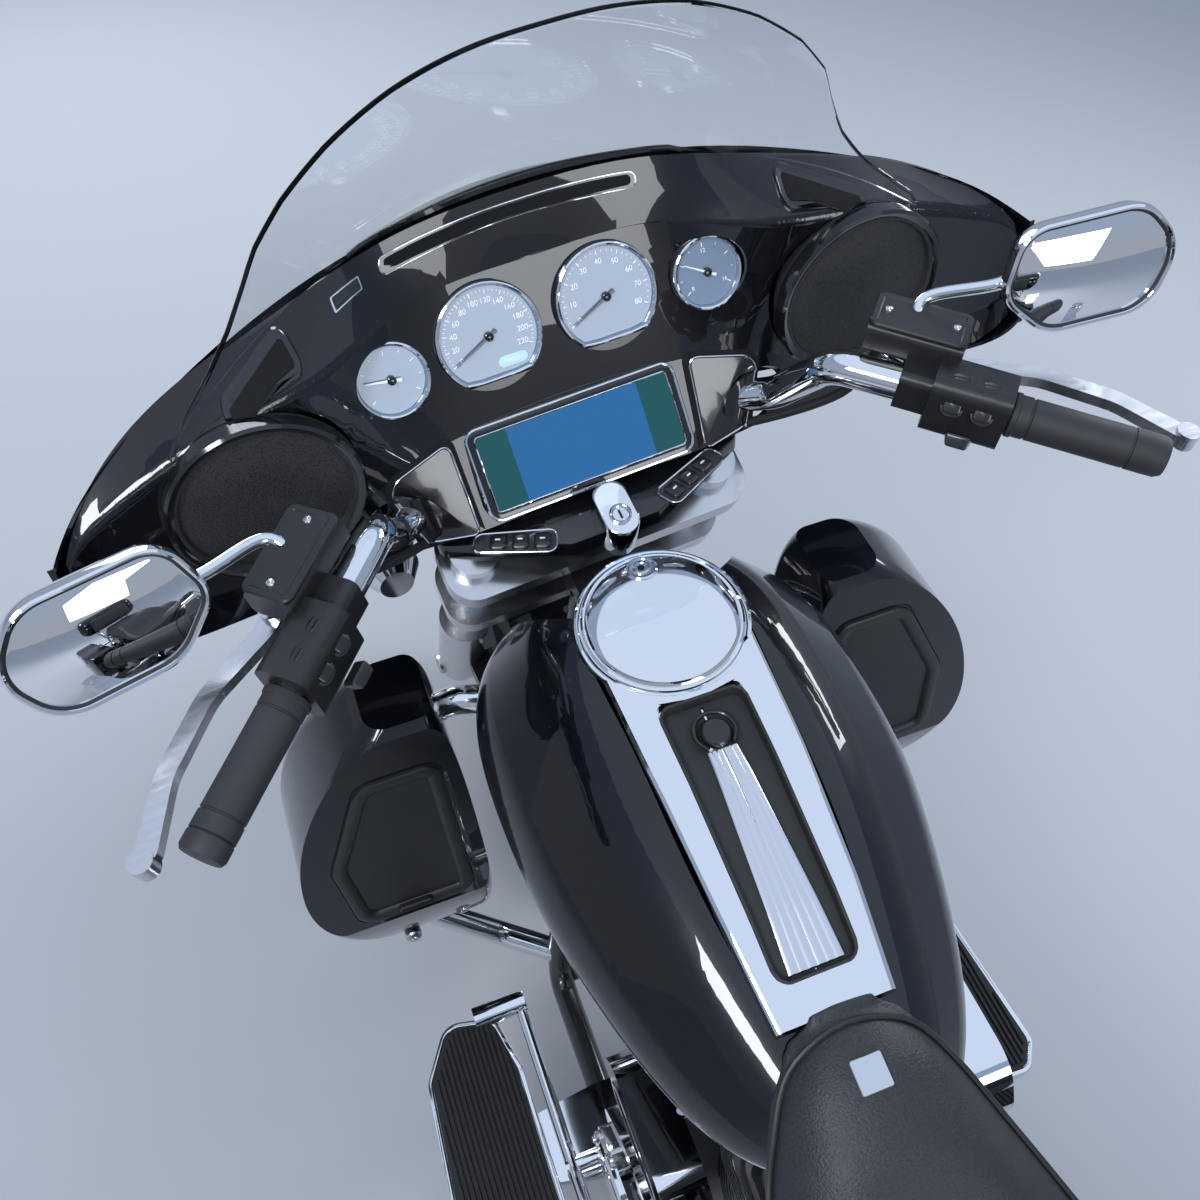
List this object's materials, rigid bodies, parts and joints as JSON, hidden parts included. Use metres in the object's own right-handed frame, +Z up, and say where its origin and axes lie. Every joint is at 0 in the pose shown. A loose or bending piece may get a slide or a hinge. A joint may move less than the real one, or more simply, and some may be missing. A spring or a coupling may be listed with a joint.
{
  "type": "touring cruiser motorcycle",
  "caption": "Touring cruiser motorcycle with a V-twin engine, wrap-round fairing, saddlebags and trunk, leaning on its side stand.",
  "frame": {"origin": "on the ground under the middle of the bounding box", "axes": "+X forward, +Y to the rider's left, +Z up; the machine leans to +Y"},
  "size_m": [2.5843, 1.022, 1.3702],
  "materials": {
    "tyre_rubber": "matt rubber",
    "cast_wheel": "gloss black cast wheel",
    "disc_steel": "ground steel",
    "fork_alloy": "polished",
    "bright_chrome": "mirror chrome",
    "grip_rubber": "matt",
    "control_black": "satin black",
    "lever_alloy": "polished",
    "mirror_glass": "mirror",
    "black_paint": "deep gloss black",
    "black_gloss": "deep gloss black",
    "gauge_dial": "pale dial under glass",
    "screen_gloss": "dark screen",
    "speaker_cloth": "woven grille",
    "clear_screen": "clear windshield",
    "lamp_glass": "clear lens in chrome",
    "frame_black": "gloss black",
    "engine_grey": "wrinkle black",
    "engine_fins": "black with bright fin edges",
    "seat_leather": "grained black",
    "lower_black": "satin black",
    "tail_red": "red lens"
  },
  "bodies": {
    "root": {"frame": "frame_black", "crankcase": "engine_grey", "cylinders": "engine_fins", "cylinder_heads": "engine_fins", "rocker_covers": "bright_chrome", "engine_covers": "bright_chrome", "horn_cover": "bright_chrome", "air_cleaner": "bright_chrome", "exhaust": "bright_chrome", "fuel_tank": "black_paint", "tank_console": "bright_chrome", "seat": "seat_leather", "rear_fender": "black_paint", "swingarm": "frame_black", "shocks": "frame_black", "drive_belt": "grip_rubber", "saddlebag_left": "black_gloss", "saddlebag_right": "black_gloss", "trunk_base": "black_gloss", "rear_rails": "bright_chrome", "backrest": "seat_leather", "side_covers": "black_gloss", "engine_guard": "bright_chrome", "lower_fairing_left": "lower_black", "lower_fairing_right": "lower_black", "footboards": "bright_chrome", "foot_controls": "bright_chrome", "tail_lamps": "tail_red"},
    "steering": {"fork": "fork_alloy", "handlebar": "bright_chrome", "grips": "grip_rubber", "hand_controls": "control_black", "levers": "lever_alloy", "mirrors": "bright_chrome", "mirror_glass": "mirror_glass", "front_fender": "black_paint", "front_calipers": "frame_black", "outer_fairing": "black_gloss", "inner_fairing": "black_gloss", "gauges": "gauge_dial", "screen_unit": "screen_gloss", "speakers": "speaker_cloth", "ignition_switch": "black_gloss", "windshield": "clear_screen", "front_lamps": "lamp_glass"},
    "front_wheel_set": {"front_tyre": "tyre_rubber", "front_wheel": "cast_wheel", "front_discs": "disc_steel"},
    "rear_wheel_set": {"rear_tyre": "tyre_rubber", "rear_wheel": "cast_wheel", "rear_disc": "disc_steel"},
    "stand_leg": {"side_stand": "frame_black"},
    "lid_left": {"bag_lid_left": "black_gloss"},
    "lid_right": {"bag_lid_right": "black_gloss"},
    "trunk_top": {"trunk_lid": "black_gloss"},
    "filler_door": {"fuel_door": "bright_chrome"},
    "glove_left": {"glove_door_left": "lower_black"},
    "glove_right": {"glove_door_right": "lower_black"}
  },
  "joints": [
    {"name": "steering", "type": "hinge", "parent": "root", "child": "steering", "pos_m": [0.72813, -0.01523, 0.83709], "axis": [-0.4384, 0.1561, 0.8851], "range_deg": [-38, 30]},
    {"name": "front_spin", "type": "hinge", "parent": "steering", "child": "front_wheel_set", "pos_m": [0.97273, -0.10825, 0.31467], "axis": [-0.0627, 0.9771, -0.2033], "continuous": true},
    {"name": "rear_spin", "type": "hinge", "parent": "root", "child": "rear_wheel_set", "pos_m": [-0.65229, -0.10702, 0.31651], "axis": [0, 0.9848, -0.1736], "continuous": true},
    {"name": "stand_swing", "type": "hinge", "parent": "root", "child": "stand_leg", "pos_m": [0.06771, 0.04431, 0.13813], "axis": [0.0665, 0.6873, 0.7233], "range_deg": [0, 122.68]},
    {"name": "bag_lid_left_hinge", "type": "hinge", "parent": "root", "child": "lid_left", "pos_m": [-0.65229, 0.3548, 0.56876], "axis": [-1, 0, 0], "range_deg": [0, 95]},
    {"name": "bag_lid_right_hinge", "type": "hinge", "parent": "root", "child": "lid_right", "pos_m": [-0.65229, -0.45471, 0.71149], "axis": [1, 0, 0], "range_deg": [0, 95]},
    {"name": "trunk_hinge", "type": "hinge", "parent": "root", "child": "trunk_top", "pos_m": [-1.03229, 0.28101, 0.92193], "axis": [-1, 0, 0], "range_deg": [0, 95]},
    {"name": "fuel_door_hinge", "type": "hinge", "parent": "root", "child": "filler_door", "pos_m": [0.38303, 0.00144, 0.93162], "axis": [0, -0.9848, 0.1736], "range_deg": [0, 95]},
    {"name": "glove_left_hinge", "type": "hinge", "parent": "root", "child": "glove_left", "pos_m": [0.48254, 0.21068, 0.48851], "axis": [0, -0.9848, 0.1736], "range_deg": [0, 70]},
    {"name": "glove_right_hinge", "type": "hinge", "parent": "root", "child": "glove_right", "pos_m": [0.48254, -0.34673, 0.58679], "axis": [0, -0.9848, 0.1736], "range_deg": [0, 70]}
  ]
}
